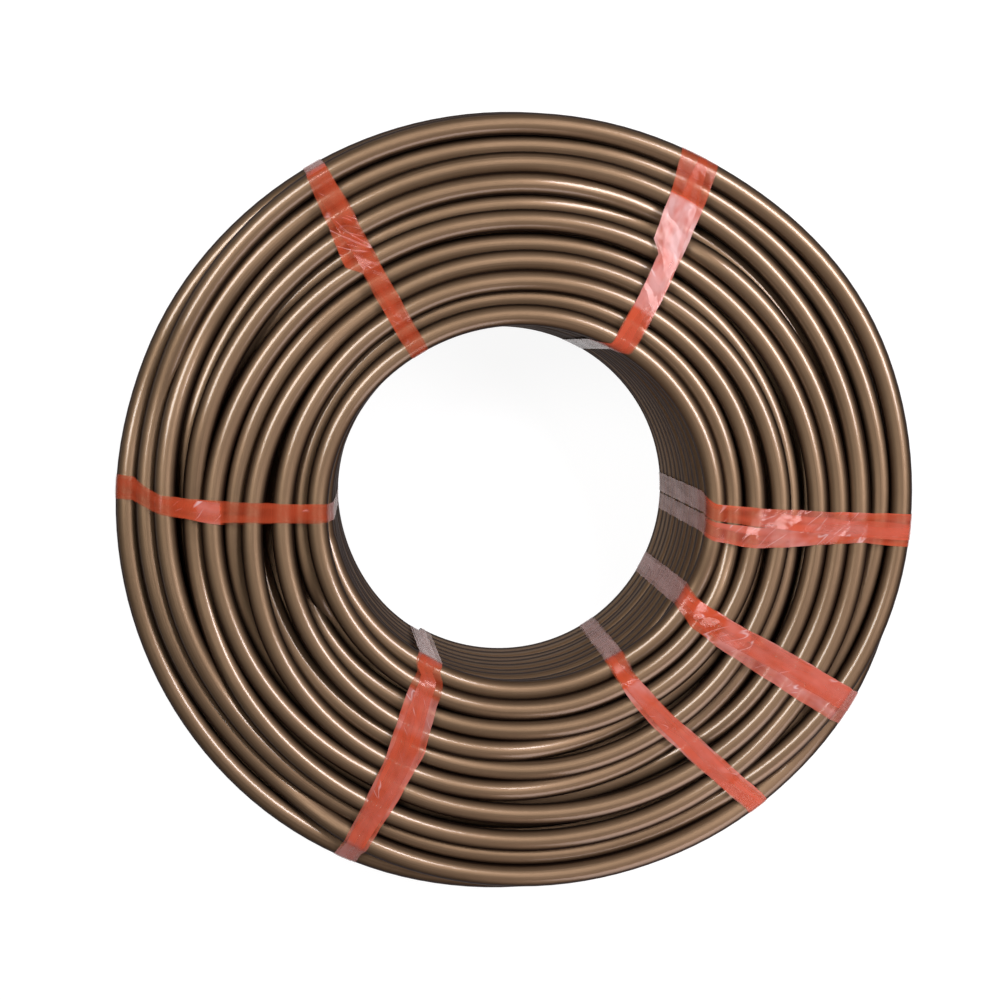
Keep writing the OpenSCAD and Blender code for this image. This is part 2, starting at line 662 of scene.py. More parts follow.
def lay_pipe(
    name: str, centres: np.ndarray, pipe: Pipe, open_start: bool = False, open_end: bool = False
) -> bpy.types.Object:
    """Wraps a grid round a centre line and closes it as a pipe.

    Each vertex keeps an attribute, lay, of the cosine and sine of its place round the pipe and its distance
    along it, for finishes that follow the pipe.

    Args:
        name: Name of the piece.
        centres: Points of the centre line.
        pipe: The pipe that is laid.
        open_start: Whether the first end shows its bore.
        open_end: Whether the last end shows its bore.

    Returns:
        The object.
    """
    along = np.concatenate([[0.0], np.cumsum(np.linalg.norm(np.diff(centres, axis=0), axis=1))])
    tangents = np.gradient(centres, axis=0)
    tangents /= np.linalg.norm(tangents, axis=1)[:, None]
    picks = list(range(len(centres)))
    radii = [pipe.radius] * len(centres)
    mouth = [(0, pipe.radius - pipe.outer_lip), (0, pipe.bore_radius + pipe.inner_lip)]
    mouth += [(step, pipe.bore_radius) for step in range(pipe.mouth_steps + 1)]
    if open_start:
        picks = [step for step, _ in reversed(mouth)] + picks
        radii = [r for _, r in reversed(mouth)] + radii
    if open_end:
        picks += [len(centres) - 1 - step for step, _ in mouth]
        radii += [r for _, r in mouth]
    rows, sides = len(picks), pipe.sides
    up = np.array([0.0, 0.0, 1.0])
    side = np.cross(up, tangents)
    side /= np.linalg.norm(side, axis=1)[:, None]
    crown = np.cross(tangents, side)
    bm = bmesh.new()
    lay = bm.verts.layers.float_vector.new("lay")
    bmesh.ops.create_grid(bm, x_segments=rows - 1, y_segments=sides, size=1.0)
    seam = []
    for vert in bm.verts:
        row = round((vert.co.x + 1.0) / 2.0 * (rows - 1))
        place = round((vert.co.y + 1.0) / 2.0 * sides)
        turn = 2.0 * math.pi * place / sides - math.pi / 2.0
        at = picks[row]
        vert.co = centres[at] + radii[row] * (math.cos(turn) * side[at] + math.sin(turn) * crown[at])
        vert[lay] = (math.cos(turn), math.sin(turn), along[at])
        if place in (0, sides):
            seam.append(vert)
    bmesh.ops.remove_doubles(bm, verts=seam, dist=TOUCH)
    bmesh.ops.holes_fill(bm, edges=[e for e in bm.edges if e.is_boundary], sides=0)
    return finished(bm, name)


@dataclass(frozen=True)
class Lap:
    """One lap of film over the top face, in rows that start with millimetres from the axis.

    The edges' rows go on with the degrees of the two edges there. The looks' rows go on with how pale the
    stretched film is, partly real haze and partly painted glare of the lamps, or below 0 how thin and clear,
    and with how creased it is.
    """

    edges: Rows
    looks: Rows


FILM_BANDS: dict[str, tuple[Lap, ...]] = {
    "film_band_1": (
        Lap(((160, 353.0, 358.6), (185, 350.8, 356.4), (226, 350.6, 355.6), (258, 352.0, 356.5),
             (300, 353.6, 357.6), (332, 354.3, 358.0), (370, 354.2, 357.6)),
            ((168, 0.18, 0.0), (177, 0.05, 0.1), (187, 0.15, 0.6), (227, 0.2, 0.6), (230, 0.3, 1.0),
             (257, 0.25, 1.0), (260, 0.45, 0.3), (284, 0.4, 0.3), (288, 0.2, 1.0), (328, 0.2, 0.8),
             (333, 0.1, 0.1))),
        Lap(((160, 359.2, 366.0), (185, 356.8, 361.8), (226, 355.9, 360.3), (258, 355.6, 359.9),
             (300, 355.2, 359.4), (332, 355.2, 359.3), (370, 355.2, 359.1)),
            ((168, 0.18, 0.0), (177, 0.05, 0.1), (187, 0.0, 0.5), (226, 0.1, 0.3), (230, 0.25, 0.9),
             (257, 0.2, 0.8), (260, 0.1, 0.3), (288, 0.2, 0.8), (328, 0.3, 0.6), (333, 0.1, 0.1))),
    ),
    "film_band_2": (
        Lap(((160, 60.5, 68.0), (176, 55.0, 61.5), (189, 55.1, 61.8), (218, 55.8, 61.5), (275, 57.6, 61.8),
             (326, 59.0, 63.2), (366, 60.2, 63.3)),
            ((166, 0.18, 0.0), (176, 0.05, 0.2), (216, 0.05, 0.3), (219, 0.45, 0.6), (240, 0.75, 0.35),
             (274, 0.8, 0.3), (277, 0.9, 0.1), (324, 0.8, 0.1), (327, -0.2, 0.1))),
        Lap(((160, 61.2, 68.2), (175, 56.0, 61.6), (189, 55.5, 61.4), (218, 56.2, 61.3), (270, 57.8, 62.0),
             (280, 58.4, 64.2), (326, 60.0, 65.0), (366, 62.0, 66.1)),
            ((166, 0.18, 0.0), (176, 0.05, 0.2), (216, 0.05, 0.3), (219, 0.4, 0.6), (240, 0.65, 0.35),
             (274, 0.8, 0.3), (277, 0.9, 0.2), (324, 0.8, 0.2), (327, -0.4, 0.1))),
    ),
    "film_band_3": (
        Lap(((175, 119.5, 125.2), (193, 119.5, 124.9), (262, 119.4, 123.4), (275, 119.3, 125.5),
             (300, 119.2, 124.5), (321, 119.0, 123.6), (361, 119.3, 122.5), (371, 119.3, 122.2)),
            ((166, 0.2, 0.0), (176, -0.4, 0.2), (214, -0.1, 0.4), (217, -0.1, 0.3), (260, -0.3, 0.3),
             (267, -0.3, 1.0), (310, -0.1, 1.0), (318, -0.3, 0.2), (322, -0.3, 0.1), (360, -0.4, 0.0),
             (362, 0.3, 0.0))),
        Lap(((175, 120.2, 124.6), (262, 119.9, 123.0), (321, 119.3, 122.8), (371, 119.5, 122.1)),
            ((166, 0.0, 0.0), (176, -0.7, 0.2), (260, -0.7, 0.3), (267, -0.5, 0.9), (310, -0.4, 0.8),
             (318, -0.4, 0.1), (360, -0.4, 0.0), (362, 0.3, 0.0))),
    ),
    "film_band_4": (
        Lap(((178, 177.2, 182.7), (217, 177.4, 182.1), (250, 177.4, 181.6), (272, 177.3, 181.5),
             (290, 177.2, 181.2), (330, 176.8, 179.8), (361, 175.0, 178.3), (370, 174.4, 177.8)),
            ((166, 0.18, 0.0), (176, -0.3, 0.0), (193, -0.35, 0.1), (275, -0.35, 0.1), (290, 0.1, 0.5),
             (318, -0.1, 0.4), (335, -0.35, 0.4), (362, -0.4, 0.1), (368, -0.2, 0.0))),
        Lap(((178, 177.8, 182.3), (272, 177.6, 181.9), (288, 177.5, 181.4), (330, 177.2, 179.4),
             (370, 174.8, 177.3)),
            ((190, -1.0, 0.0), (193, -1.0, 0.0), (273, -1.0, 0.1), (277, 0.3, 0.6), (296, 0.25, 0.5),
             (302, -0.3, 0.1), (335, -0.7, 0.1), (368, -0.7, 0.0))),
    ),
    "film_band_5": (
        Lap(((160, 235.0, 243.6), (172, 237.1, 245.8), (188, 236.9, 246.6), (200, 237.7, 246.6),
             (245, 240.2, 248.3), (262, 241.0, 247.7), (290, 241.4, 247.1), (330, 241.7, 246.0),
             (369, 241.8, 245.2)),
            ((152, 0.2, 0.0), (160, -0.5, 0.4), (190, -0.5, 0.6), (196, 0.5, 0.5), (232, 0.35, 0.5),
             (236, 0.1, 0.2), (262, 0.35, 0.5), (266, 0.25, 0.2), (353, 0.25, 0.2), (357, 0.45, 0.0))),
        Lap(((165, 236.0, 241.5), (175, 238.5, 243.5), (200, 239.6, 244.6), (245, 241.2, 246.6),
             (290, 242.0, 246.2), (369, 242.2, 244.6)),
            ((152, 0.2, 0.0), (160, 0.0, 0.4), (200, 0.1, 0.6), (228, 0.15, 0.6), (236, 0.0, 0.2),
             (285, 0.1, 0.3), (300, 0.1, 0.5), (340, 0.1, 0.5), (353, 0.1, 0.1), (357, 0.4, 0.0))),
    ),
    "film_band_6": (
        Lap(((160, 299.6, 306.0), (183, 299.6, 305.0), (215, 300.2, 305.4), (235, 301.0, 306.0),
             (280, 303.6, 308.2), (330, 305.8, 309.6), (375, 307.0, 310.4)),
            ((154, 0.15, 0.0), (162, -0.5, 0.4), (192, -0.6, 0.8), (199, 0.5, 0.3), (218, 0.45, 0.2),
             (222, 0.4, 0.4), (240, 0.4, 0.4), (300, 0.45, 0.1), (322, 0.3, 0.4), (335, 0.25, 0.3),
             (342, 0.25, 0.0))),
        Lap(((160, 300.2, 305.4), (183, 300.0, 304.6), (280, 304.0, 307.8), (375, 307.4, 310.0)),
            ((154, 0.15, 0.0), (162, 0.0, 0.4), (196, 0.0, 0.8), (199, 0.4, 0.3), (218, 0.3, 0.2),
             (222, 0.1, 0.3), (300, 0.15, 0.1), (322, 0.15, 0.4), (335, 0.0, 0.3), (342, 0.0, 0.0))),
    ),
    "film_band_7": (
        Lap(((160, 328.6, 336.5), (184, 326.8, 333.5), (195, 325.6, 333.1), (230, 325.1, 332.2),
             (282, 325.3, 332.1), (330, 325.5, 331.7), (377, 325.8, 331.3)),
            ((166, 0.18, 0.0), (174, 0.0, 0.4), (184, -0.1, 0.6), (192, 0.0, 1.0), (222, 0.1, 0.9),
             (228, 0.4, 0.5), (260, 0.4, 0.3), (330, 0.45, 0.2), (370, 0.4, 0.1), (380, 0.1, 0.0))),
        Lap(((160, 330.0, 335.6), (184, 328.2, 333.2), (230, 326.9, 332.0), (282, 327.6, 331.9),
             (377, 327.9, 331.2)),
            ((166, 0.18, 0.0), (174, 0.0, 0.4), (184, -0.1, 0.6), (192, 0.0, 1.0), (222, 0.0, 1.0),
             (228, 0.2, 0.9), (256, 0.2, 0.9), (260, 0.15, 0.2), (300, 0.2, 0.4), (370, 0.1, 0.1),
             (380, 0.0, 0.0))),
    ),
}


@dataclass(frozen=True)
class Film:
    """The stretch film, in metres, and how finely its meshes are made."""

    thickness: float = 0.0001
    slack: float = 0.0003
    lap_lift: float = 0.0004
    wrinkle: float = 0.0004
    fray: float = 0.00025
    inset: float = 0.025
    run_on: float = 0.014
    under_room: float = 0.00036
    lap_room: float = 0.00015
    loose_gap: float = 0.002
    face_steps: int = 84
    wall_steps: int = 28
    under_steps: int = 36
    corner_steps: int = 24
    lines: int = 15
    fan_margin: float = 2.0
    seed_step: int = 10


@dataclass
class Fan:
    """Sections of the coil a degree apart, each with how far a tight film lies from every station.

    A station is a point inside the section and the unit direction in which it looks out.
    """

    first: float
    points: np.ndarray
    looks: np.ndarray
    sections: list[np.ndarray]
    reach: np.ndarray

    @property
    def middle(self) -> np.ndarray:
        """Radius and height of the film at every station of the middle section."""
        return self.points + self.looks * self.reach[len(self.sections) // 2][:, None]

    def film_at(self, angle: float, row: int, radius: float) -> tuple[float, float]:
        """Finds the tight film at an angle between two sections.

        Args:
            angle: Degrees about the axis.
            row: Number of the station.
            radius: Radius of the pipe.

        Returns:
            How far the film lies from the station, and how wide the gap under it is.
        """
        low = int(angle - self.first)
        part = angle - self.first - low
        out = self.reach[low][row] * (1.0 - part) + self.reach[low + 1][row] * part
        bare = self.points[row] + self.looks[row] * out
        gap = float(np.min(np.linalg.norm(self.sections[low] - bare, axis=1)) - radius)
        return out, max(gap, 0.0)


@dataclass
class FilmWrap:
    """Bands of film pulled tight round the section of the winding."""

    coil: PipeCoil
    film: Film

    def build(self) -> dict[str, bpy.types.Object]:
        """Builds every band.

        Returns:
            Each band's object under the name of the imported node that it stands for.
        """
        return {node: self._band(node, laps, seed) for seed, (node, laps) in enumerate(FILM_BANDS.items())}

    def _loop(self) -> tuple[np.ndarray, np.ndarray]:
        """Sets stations round the section, inside it.

        Returns:
            The point that each looks out from, and the unit direction in which it looks.
        """
        w, film = self.coil.winding, self.film
        inner, outer = w.layer_r(0) + film.inset, w.layer_r(w.layers - 1) - film.inset
        low, high = w.bottom_z + film.inset, w.top_z - film.inset
        sides = (
            ((outer, low), (inner, low), 270.0, film.under_steps),
            ((inner, low), (inner, high), 180.0, film.wall_steps),
            ((inner, high), (outer, high), 90.0, film.face_steps),
            ((outer, high), (outer, low), 0.0, film.wall_steps),
        )
        points, looks = [], []
        for start, end, angle, steps in sides:
            for t in np.linspace(0.0, 1.0, steps, endpoint=False):
                points.append(np.array(start) * (1.0 - t) + np.array(end) * t)
                looks.append(angle)
            for t in np.linspace(0.0, 1.0, film.corner_steps, endpoint=False):
                points.append(np.array(end))
                looks.append(angle - 90.0 * t)
        look = np.radians(looks)
        return np.array(points), np.stack([np.cos(look), np.sin(look)], axis=1)

    def _band(self, node: str, laps: tuple[Lap, ...], seed: int) -> bpy.types.Object:
        """Builds one band.

        Args:
            node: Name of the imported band.
            laps: The laps, from the coil outwards.
            seed: Picks the band's creases and the fray of its edges.

        Returns:
            All of its laps in one piece.
        """
        points, looks = self._loop()
        edges = [angle for lap in laps for row in lap.edges for angle in row[1:]]
        first = math.floor(min(edges)) - self.film.fan_margin
        last = math.ceil(max(edges)) + self.film.fan_margin
        sections = [self.coil.section(angle) for angle in np.arange(first, last + 1.0)]
        reach = np.array([hull_reach(section, self.coil.pipe.radius, points, looks) for section in sections])
        fan = Fan(first, points, looks, sections, reach)
        bm = bmesh.new()
        layers = (bm.verts.layers.float_vector.new("weft"), bm.verts.layers.float_vector.new("look"))
        for number, lap in enumerate(laps):
            lift = number * self.film.lap_lift
            room = (len(laps) - number) * self.film.lap_room - self.film.under_room
            self._lap(bm, layers, fan, lap, seed * self.film.seed_step + number, lift, room)
        bmesh.ops.solidify(bm, geom=bm.faces[:], thickness=-self.film.thickness)
        return finished(bm, f"{node}_film")

    def _lap(
        self, bm: bmesh.types.BMesh, layers: tuple[bmesh.types.BMLayerItem, bmesh.types.BMLayerItem],
        fan: Fan, lap: Lap, seed: int, lift: float, room: float,
    ) -> None:
        """Lays one lap of film round the section.

        Args:
            bm: Takes the lap.
            layers: The vertices' attributes, weft and look.
            fan: The sections that the film is pulled over.
            lap: The lap.
            seed: Picks the lap's creases and the fray of its edges.
            lift: How far it lies off the first lap.
            room: How far up from the coil's underside it may reach down.
        """
        film, high = self.film, self.coil.winding.high
        middle = fan.middle
        count, radius, look_up = len(middle), middle[:, 0], self._look_up(middle)
        rng = np.random.default_rng(seed)
        travel = np.concatenate([[0.0], np.cumsum(np.linalg.norm(np.diff(middle, axis=0), axis=1))])
        left, right = (
            edge + np.degrees(ripple(travel, rng, film.fray) / radius)
            for edge in read_rows(lap.edges, look_up)
        )
        offsets = rng.uniform(0.0, NOISE_REACH, 3)
        # How pale each station's film is: partly real haze and partly painted glare of the lamps.
        haze_and_glare, creased = read_rows(lap.looks, look_up)
        creased = creased * np.clip(1.0 - (high - middle[:, 1]) / film.run_on, 0.0, 1.0)
        made = bmesh.ops.create_grid(bm, x_segments=count, y_segments=film.lines - 1, size=1.0)
        seam = []
        for vert in made["verts"]:
            row = round((vert.co.x + 1.0) / 2.0 * count)
            t = round((vert.co.y + 1.0) / 2.0 * (film.lines - 1)) / (film.lines - 1)
            if row in (0, count):
                seam.append(vert)
            row %= count
            angle = left[row] * (1.0 - t) + right[row] * t
            across = math.radians(angle - (left[row] + right[row]) / 2.0) * radius[row]
            out, gap = fan.film_at(angle, row, self.coil.pipe.radius)
            fold = crease(across, travel[row], offsets) * min(gap / film.loose_gap, 1.0) * creased[row]
            r, z = fan.points[row] + fan.looks[row] * (out + film.slack + lift + film.wrinkle * fold)
            turn = math.radians(angle)
            vert.co = (r * math.cos(turn), r * math.sin(turn), max(z, self.coil.winding.low + room))
            vert[layers[0]] = (across, travel[row], 0.0)
            vert[layers[1]] = (haze_and_glare[row], creased[row], float(seed))
        bmesh.ops.remove_doubles(bm, verts=seam, dist=TOUCH)

    def _look_up(self, middle: np.ndarray) -> np.ndarray:
        """Finds where each station reads a lap's rows, which runs on as the film goes down a wall.

        Args:
            middle: Radius and height of the film at each station.

        Returns:
            One radius for each station.
        """
        w = self.coil.winding
        centre = (w.layer_r(0) + w.rim_r) / 2.0
        side = np.clip((middle[:, 0] - centre) / (w.rim_r - centre), -1.0, 1.0)
        return middle[:, 0] + side * np.minimum(w.high - middle[:, 1], self.film.run_on)


def ripple(travel: np.ndarray, rng: np.random.Generator, size: float) -> np.ndarray:
    """Gives the unevenness of a film edge.

    Args:
        travel: Distances along the edge.
        rng: Picks the places of the waves.
        size: Height of the longest wave.

    Returns:
        One offset for each distance.
    """
    total = np.zeros_like(travel)
    for wave in RIPPLE_WAVES:
        phase = rng.uniform(0.0, 2.0 * math.pi)
        total += np.sin(2.0 * math.pi * travel / wave + phase) * wave / RIPPLE_WAVES[0]
    return total * size


def crease(across: float, along: float, offsets: np.ndarray) -> float:
    """Gives the height of the film's slanting creases at a place on it, from 0 to 1."""
    place = ((across + along) * CREASES_ALONG, (across - along) * CREASES_ACROSS, 0.0)
    return max(0.0, 1.0 - CREASE_SHARPNESS * abs(noise.noise(Vector(place) + Vector(offsets))))


def hull_reach(centres: np.ndarray, radius: float, points: np.ndarray, looks: np.ndarray) -> np.ndarray:
    """Measures how far a film pulled tight round some turns lies from each station.

    Args:
        centres: Centres of the turns in the section.
        radius: Radius of the pipe.
        points: Where each station looks from.
        looks: The unit direction that it looks in.

    Returns:
        One distance for each station.
    """
    turn = np.linspace(0.0, 2.0 * math.pi, RIM_POINTS, endpoint=False)
    rim = np.stack([np.cos(turn), np.sin(turn)], axis=1) * radius
    cloud = (centres[:, None, :] + rim[None, :, :]).reshape(-1, 2)
    cloud = cloud[np.lexsort((cloud[:, 1], cloud[:, 0]))]
    halves = []
    for order in (cloud, cloud[::-1]):
        chain: list[np.ndarray] = []
        for p in order:
            while len(chain) > 1 and np.cross(chain[-1] - chain[-2], p - chain[-2]) <= 0.0:
                chain.pop()
            chain.append(p)
        halves += chain[:-1]
    hull = np.array(halves)
    edges = np.roll(hull, -1, axis=0) - hull
    outward = np.stack([edges[:, 1], -edges[:, 0]], axis=1)
    facing = looks @ outward.T
    met = facing > 1e-12
    room = np.sum(hull * outward, axis=1)[None, :] - points @ outward.T
    return np.min(np.where(met, room / np.where(met, facing, 1.0), np.inf), axis=1)


@dataclass(frozen=True)
class Desk:
    """A node tree, with short calls to fill it."""

    tree: bpy.types.NodeTree

    def add(
        self, kind: str, inputs: dict[str | int, object] | None = None, **settings: object
    ) -> bpy.types.Node:
        """Adds a node.

        Args:
            kind: The node's type name, after ShaderNode.
            inputs: Values or output sockets for its inputs.
            settings: Properties of the node.

        Returns:
            The node.
        """
        node = self.tree.nodes.new(kind if kind.startswith("NodeGroup") else f"ShaderNode{kind}")
        for key, value in settings.items():
            setattr(node, key, value)
        for key, value in (inputs or {}).items():
            self.feed(node, key, value)
        return node

    def feed(self, node: bpy.types.Node, key: str | int, value: object) -> None:
        """Links an output socket to an input, or sets the input's value.

        Args:
            node: The node.
            key: Name or number of the input.
            value: The socket or the value.
        """
        if isinstance(value, bpy.types.NodeSocket):
            self.tree.links.new(value, node.inputs[key])
        else:
            node.inputs[key].default_value = value

    def maths(self, operation: str, *values: object, clamp: bool = False) -> bpy.types.NodeSocket:
        """Adds a Math node for some values and gives its output."""
        return self.add("Math", dict(enumerate(values)), operation=operation, use_clamp=clamp).outputs[0]

    def vector(self, operation: str, *values: object) -> bpy.types.NodeSocket:
        """Adds a Vector Math node for some vectors and gives its output."""
        return self.add("VectorMath", dict(enumerate(values)), operation=operation).outputs[0]

    def span(
        self, value: bpy.types.NodeSocket, low: object, high: object, start: object = 0.0,
        end: object = 1.0, **settings: object,
    ) -> bpy.types.NodeSocket:
        """Adds a Map Range node, from low and high to start and end, and gives its output."""
        values = {"Value": value, "From Min": low, "From Max": high, "To Min": start, "To Max": end}
        return self.add("MapRange", values, **settings).outputs["Result"]

    def blend(self, share: bpy.types.NodeSocket, first: object, second: object) -> bpy.types.NodeSocket:
        """Adds a Mix node for two colours and gives its output."""
        return self.add("Mix", {0: share, 6: first, 7: second}, data_type="RGBA").outputs[2]

    def noise(self, place: bpy.types.NodeSocket, **values: object) -> bpy.types.Node:
        """Adds a Noise Texture node of scale 1, unless it is given another."""
        return self.add("TexNoise", {"Vector": place, "Scale": 1.0, **values})


def new_group(name: str, inputs: dict[str, tuple[str, object]], output: str, kind: str) -> tuple:
    """Starts a shader node group.

    Args:
        name: Name of the group.
        inputs: Each input's socket type and default value.
        output: Name of the output.
        kind: The output's socket type.

    Returns:
        The group's desk, the sockets coming in, and the node that takes what goes out.
    """
    group = bpy.data.node_groups.new(name, "ShaderNodeTree")
    for label, (socket_kind, value) in inputs.items():
        socket = group.interface.new_socket(label, in_out="INPUT", socket_type=socket_kind)
        if value is not None:
            socket.default_value = value
    group.interface.new_socket(output, in_out="OUTPUT", socket_type=kind)
    desk = Desk(group)
    return desk, desk.add("NodeGroupInput").outputs, desk.add("NodeGroupOutput")


def stretched_noise_group(name: str) -> None:
    """Makes the group that gives a mask of noise stretched along any axis of a vector.

    Args:
        name: Name of the group.
    """
    inputs = {
        "Vector": ("NodeSocketVector", None),
        "Stretch": ("NodeSocketVector", (1.0, 1.0, 1.0)),
        "Detail": ("NodeSocketFloat", 2.0),
        "Low": ("NodeSocketFloat", 0.35),
        "High": ("NodeSocketFloat", 0.65),
    }
    desk, given, out = new_group(name, inputs, "Mask", "NodeSocketFloat")
    grain = desk.noise(desk.vector("MULTIPLY", given["Vector"], given["Stretch"]), Detail=given["Detail"])
    desk.feed(out, "Mask", desk.span(grain.outputs["Fac"], given["Low"], given["High"]))


def slanted_inputs() -> dict[str, tuple[str, object]]:
    """The inputs of a group whose pattern lies at a slant."""
    return {
        "Vector": ("NodeSocketVector", None),
        "Slant": ("NodeSocketFloat", 0.75),
        "Amount": ("NodeSocketFloat", 0.5),
    }


def slanted(desk: Desk, given: object, stretch: tuple[float, float, float]) -> bpy.types.NodeSocket:
    """Turns a group's vector by its slant and stretches it.

    Args:
        desk: The group's desk.
        given: The sockets coming in.
        stretch: How much along each axis.

    Returns:
        The vector's socket.
    """
    inputs = {"Vector": given["Vector"], "Angle": given["Slant"]}
    turned = desk.add("VectorRotate", inputs, rotation_type="Z_AXIS")
    return desk.vector("MULTIPLY", turned.outputs[0], stretch)


def crease_lines_group(name: str) -> None:
    """Makes the group that gives thin slanting lines, in patches, where a film is creased.

    Args:
        name: Name of the group.
    """
    desk, given, out = new_group(name, slanted_inputs(), "Mask", "NodeSocketFloat")
    grain = desk.noise(slanted(desk, given, (85.0, 17.0, 1.0)), Detail=0.0, Distortion=0.5)
    off = desk.maths("ABSOLUTE", desk.maths("SUBTRACT", grain.outputs["Fac"], 0.5))
    line = desk.span(off, 0.0, 0.02, 0.7, 0.0)
    patch = desk.noise(desk.vector("MULTIPLY", given["Vector"], (60.0, 60.0, 1.0)), Detail=1.0)
    floor = desk.maths("MULTIPLY_ADD", given["Amount"], -0.35, 0.70)
    shown = desk.span(patch.outputs["Fac"], floor, desk.maths("ADD", floor, 0.12))
    desk.feed(out, "Mask", desk.maths("MULTIPLY", line, shown))


def facets_group(name: str) -> None:
    """Makes the group that gives the random tilt of the slanting flat patches of a stretched film.

    Args:
        name: Name of the group.
    """
    desk, given, out = new_group(name, slanted_inputs(), "Tilt", "NodeSocketVector")
    spread = slanted(desk, given, (85.0, 32.0, 1.0))
    wave = desk.noise(spread, Scale=1.3, Detail=1.0)
    bent = desk.vector("MULTIPLY_ADD", wave.outputs["Color"], (0.9, 0.9, 0.0), spread)
    cells = desk.add("TexVoronoi", {"Vector": bent, "Scale": 1.0})
    centred = desk.vector("SUBTRACT", cells.outputs["Color"], (0.5, 0.5, 0.5))
    tilt = desk.add("VectorMath", {0: centred, "Scale": given["Amount"]}, operation="SCALE")
    desk.feed(out, "Tilt", tilt.outputs[0])


class Group(Enum):
    """The node groups that the finishes share."""

    STRETCHED_NOISE = "stretched noise"
    CREASE_LINES = "crease lines"
    FACETS = "facets"

    def place(self, desk: Desk, **values: object) -> bpy.types.NodeSocket:
        """Places the group in a material.

        Args:
            desk: The material's desk.
            values: The group's inputs.

        Returns:
            The group's output socket.
        """
        return desk.add("Group", values, node_tree=bpy.data.node_groups[self.value]).outputs[0]


def new_material(name: str) -> tuple[bpy.types.Material, Desk, bpy.types.Node]:
    """Starts a material.

    Args:
        name: Name of the material.

    Returns:
        The material, its desk and its Principled BSDF.
    """
    material = bpy.data.materials.new(name)
    material.use_nodes = True
    return material, Desk(material.node_tree), material.node_tree.nodes["Principled BSDF"]


@dataclass(frozen=True)
class PipeFinish:
    """Brown plastic with a fine golden pigment, drawn smooth, with painted shade that darkens its colour
    where its surface turns away from the view.
    """

    name: str = "bronze_pipe"
    light: Colour = (0.275, 0.177, 0.106, 1.0)
    dark: Colour = (0.225, 0.143, 0.084, 1.0)
    # Painted shade: the dark colour that the base colour turns to where the surface turns away from the view.
    edge: Colour = (0.03, 0.017, 0.011, 1.0)
    edge_tint: Colour = (0.37, 0.28, 0.235, 1.0)
    edge_shade_from: float = 0.08
    edge_shade_to: float = 0.61
    metallic: float = 0.75
    roughness: tuple[float, float] = (0.44, 0.53)
    specular: float = 0.2
    coat: float = 0.85
    edge_coat: float = 0.05
    coat_roughness: float = 0.14
    tick_strength: float = 0.25
    tick_height: float = 0.00005

    def build(self) -> bpy.types.Material:
        """Builds the finish.

        Returns:
            The material.
        """
        material, desk, shader = new_material(self.name)
        lay = desk.add("Attribute", attribute_name="lay").outputs["Vector"]
        place = desk.add("TexCoord").outputs["Object"]
        streaks = Group.STRETCHED_NOISE.place(desk, Vector=lay, Stretch=(9.0, 9.0, 1.2), Detail=3.0)
        clouds = Group.STRETCHED_NOISE.place(desk, Vector=place, Stretch=(14.0, 14.0, 14.0), Detail=3.0)
        ticks = Group.STRETCHED_NOISE.place(
            desk, Vector=lay, Stretch=(1.2, 1.2, 650.0), Detail=1.0, Low=0.3, High=0.7
        )
        colour = desk.blend(desk.maths("MULTIPLY", streaks, clouds), self.dark, self.light)
        # Painted shade: Layer Weight's Facing darkens the base colour towards the edges seen from the side,
        # and thins the coat there.
        facing = desk.add("LayerWeight", {"Blend": 0.5}).outputs["Facing"]
        painted_shade = desk.span(facing, self.edge_shade_from, self.edge_shade_to, interpolation_type="SMOOTHSTEP")
        desk.feed(shader, "Base Color", desk.blend(painted_shade, colour, self.edge))
        desk.feed(shader, "Coat Weight", desk.span(painted_shade, 0.0, 1.0, self.coat, self.edge_coat))
        desk.feed(shader, "Roughness", desk.span(streaks, 0.0, 1.0, *self.roughness))
        bump = desk.add(
            "Bump", {"Strength": self.tick_strength, "Distance": self.tick_height, "Height": ticks}
        )
        desk.feed(shader, "Normal", bump.outputs["Normal"])
        shader.inputs["Metallic"].default_value = self.metallic
        shader.inputs["Specular IOR Level"].default_value = self.specular
        shader.inputs["Specular Tint"].default_value = self.edge_tint
        shader.inputs["Coat Roughness"].default_value = self.coat_roughness
        return material


